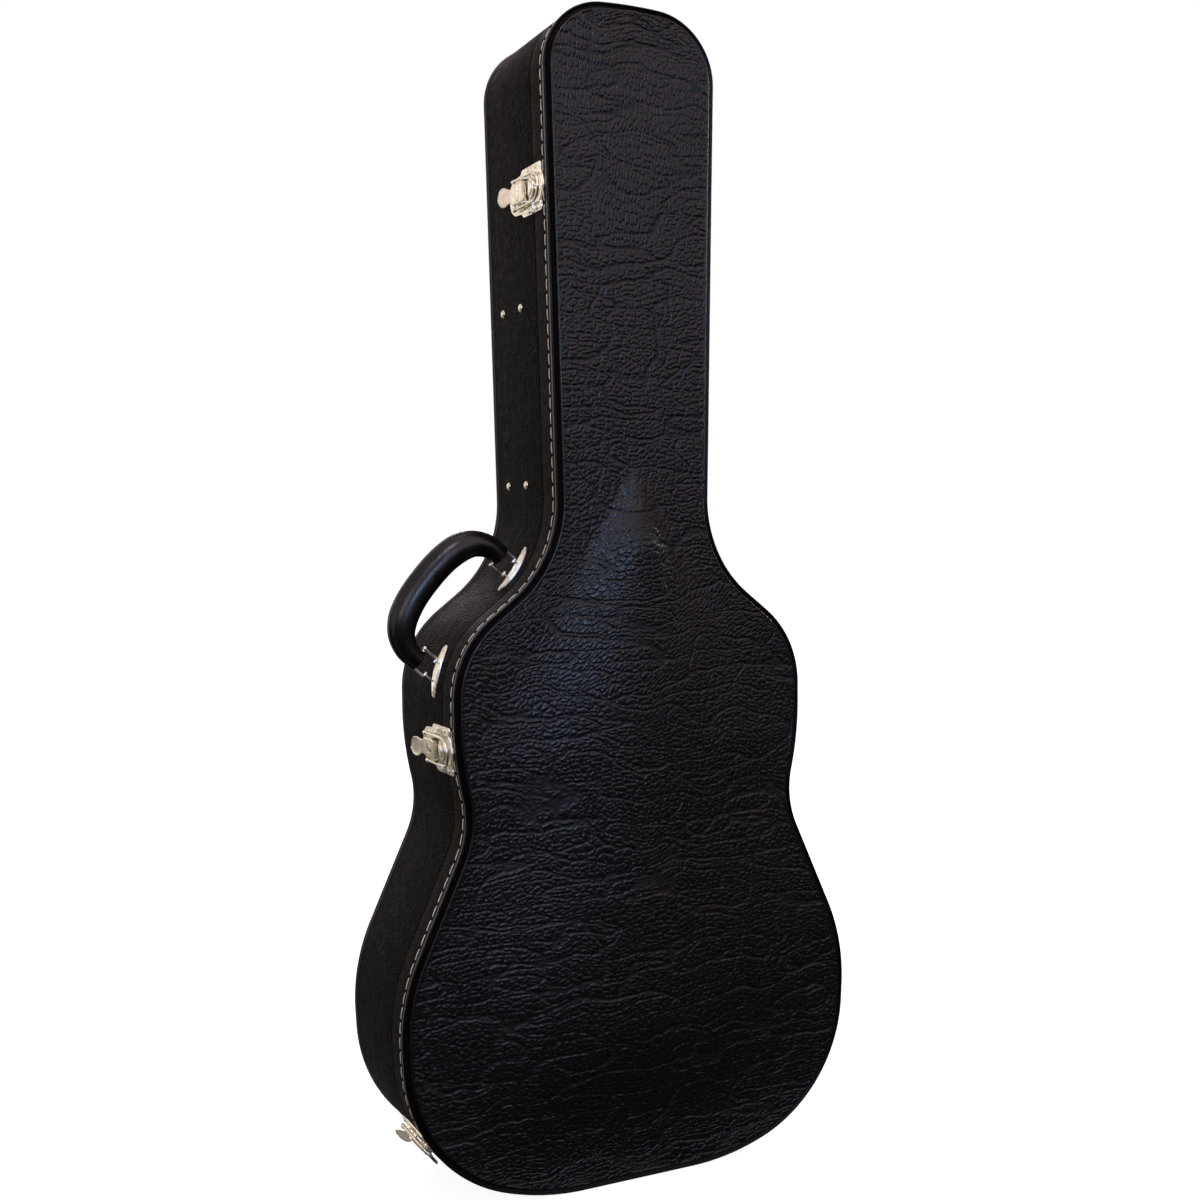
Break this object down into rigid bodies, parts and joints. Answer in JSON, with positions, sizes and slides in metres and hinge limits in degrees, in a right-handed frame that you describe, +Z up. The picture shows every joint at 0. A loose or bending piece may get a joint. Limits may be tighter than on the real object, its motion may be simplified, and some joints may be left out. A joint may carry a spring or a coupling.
{
  "type": "guitar case",
  "caption": "Hard-shell acoustic guitar case standing on end: arched hinged lid, plush interior, accessory compartment, swinging handle, lever latches.",
  "frame": {"origin": "middle of the flat bottom end that the case stands on, on the floor plane", "axes": "+Z up towards the headstock end, -Y out of the arched lid, -X towards the handle and latches"},
  "size_m": [0.4768, 0.169, 1.1],
  "materials": {
    "hide_vinyl": "crinkled hide emboss, semi-gloss",
    "pebbled_vinyl": "fine pebble, satin",
    "brown_vinyl": "smooth grain, satin",
    "bead_vinyl": "smooth, semi-gloss",
    "plush": "short-pile plush",
    "nickel": "polished warm nickel",
    "steel_pins": "plain",
    "grip_leather": "smooth padded leather",
    "stitch_thread": "cream cotton thread"
  },
  "bodies": {
    "base": {"back_panel": "hide_vinyl", "base_rim": "pebbled_vinyl", "back_bead": "bead_vinyl", "inner_lip": "bead_vinyl", "body_padding": "plush", "headstock_padding": "plush", "floor_padding": "plush", "neck_cradle": "plush", "compartment_lower_wall": "plush", "compartment_upper_wall": "plush", "compartment_wall_rivets": "nickel", "neck_latch_plate": "nickel", "lock_latch_plate": "nickel", "foot_latch_plate": "nickel", "latch_pivot_pins": "steel_pins", "latch_plate_rivets": "nickel", "handle_upper_plate": "nickel", "handle_lower_plate": "nickel", "handle_plate_screws": "nickel", "hinge_base_leaves": "nickel", "hinge_pins": "steel_pins", "hinge_base_rivets": "nickel"},
    "lid": {"lid_rim": "brown_vinyl", "front_panel": "hide_vinyl", "front_bead": "bead_vinyl", "lid_padding": "plush", "neck_latch_catch": "nickel", "lock_latch_catch": "nickel", "foot_latch_catch": "nickel", "catch_rivets": "nickel", "hinge_lid_leaves": "nickel", "hinge_lid_rivets": "nickel"},
    "handle": {"handle_grip": "grip_leather", "handle_links": "nickel"},
    "compartment_flap": {"compartment_lid": "plush", "compartment_pull_tab": "grip_leather"},
    "neck_lever": {"neck_latch_lever": "nickel"},
    "neck_bail": {"neck_latch_bail": "nickel"},
    "lock_lever": {"lock_latch_lever": "nickel"},
    "lock_bail": {"lock_latch_bail": "nickel"},
    "lock_cylinder": {"lock_cylinder": "steel_pins"},
    "foot_lever": {"foot_latch_lever": "nickel"},
    "foot_bail": {"foot_latch_bail": "nickel"}
  },
  "joints": [
    {"name": "lid_hinge", "type": "hinge", "parent": "base", "child": "lid", "pos_m": [0.21171, -0.032, 0.34004], "axis": [-0.1667, 0, 0.986], "range_deg": [0, 105]},
    {"name": "handle_swing", "type": "hinge", "parent": "base", "child": "handle", "pos_m": [-0.14441, -0.0115, 0.53892], "axis": [-0.6566, 0, -0.7543], "range_deg": [-52, 52]},
    {"name": "compartment_flap_hinge", "type": "hinge", "parent": "base", "child": "compartment_flap", "pos_m": [0.065, -0.0185, 0.745], "axis": [0, 0, 1], "range_deg": [0, 16]},
    {"name": "neck_lever_pivot", "type": "hinge", "parent": "base", "child": "neck_lever", "pos_m": [-0.08963, -0.022, 0.93191], "axis": [-0.0224, 0, 0.9997], "range_deg": [0, 150]},
    {"name": "neck_bail_pivot", "type": "hinge", "parent": "neck_lever", "child": "neck_bail", "pos_m": [-0.08963, 0.002, 0.93191], "axis": [-0.0224, 0, 0.9997], "range_deg": [-150, 0]},
    {"name": "lock_lever_pivot", "type": "hinge", "parent": "base", "child": "lock_lever", "pos_m": [-0.18389, -0.022, 0.41936], "axis": [-0.0958, 0, 0.9954], "range_deg": [0, 150]},
    {"name": "lock_bail_pivot", "type": "hinge", "parent": "lock_lever", "child": "lock_bail", "pos_m": [-0.18389, 0.002, 0.41936], "axis": [-0.0958, 0, 0.9954], "range_deg": [-150, 0]},
    {"name": "lock_turn", "type": "hinge", "parent": "lock_lever", "child": "lock_cylinder", "pos_m": [-0.18369, -0.01, 0.41938], "axis": [-0.9954, 0, -0.0958], "range_deg": [0, 90]},
    {"name": "foot_lever_pivot", "type": "hinge", "parent": "base", "child": "foot_lever", "pos_m": [-0.20417, -0.022, 0.05587], "axis": [-0.6293, 0, 0.7771], "range_deg": [0, 150]},
    {"name": "foot_bail_pivot", "type": "hinge", "parent": "foot_lever", "child": "foot_bail", "pos_m": [-0.20417, 0.002, 0.05587], "axis": [-0.6293, 0, 0.7771], "range_deg": [-150, 0]}
  ],
  "couplings": [
    {"joint": "neck_bail_pivot", "follows": "neck_lever_pivot", "ratio": -1},
    {"joint": "lock_bail_pivot", "follows": "lock_lever_pivot", "ratio": -1},
    {"joint": "foot_bail_pivot", "follows": "foot_lever_pivot", "ratio": -1}
  ]
}
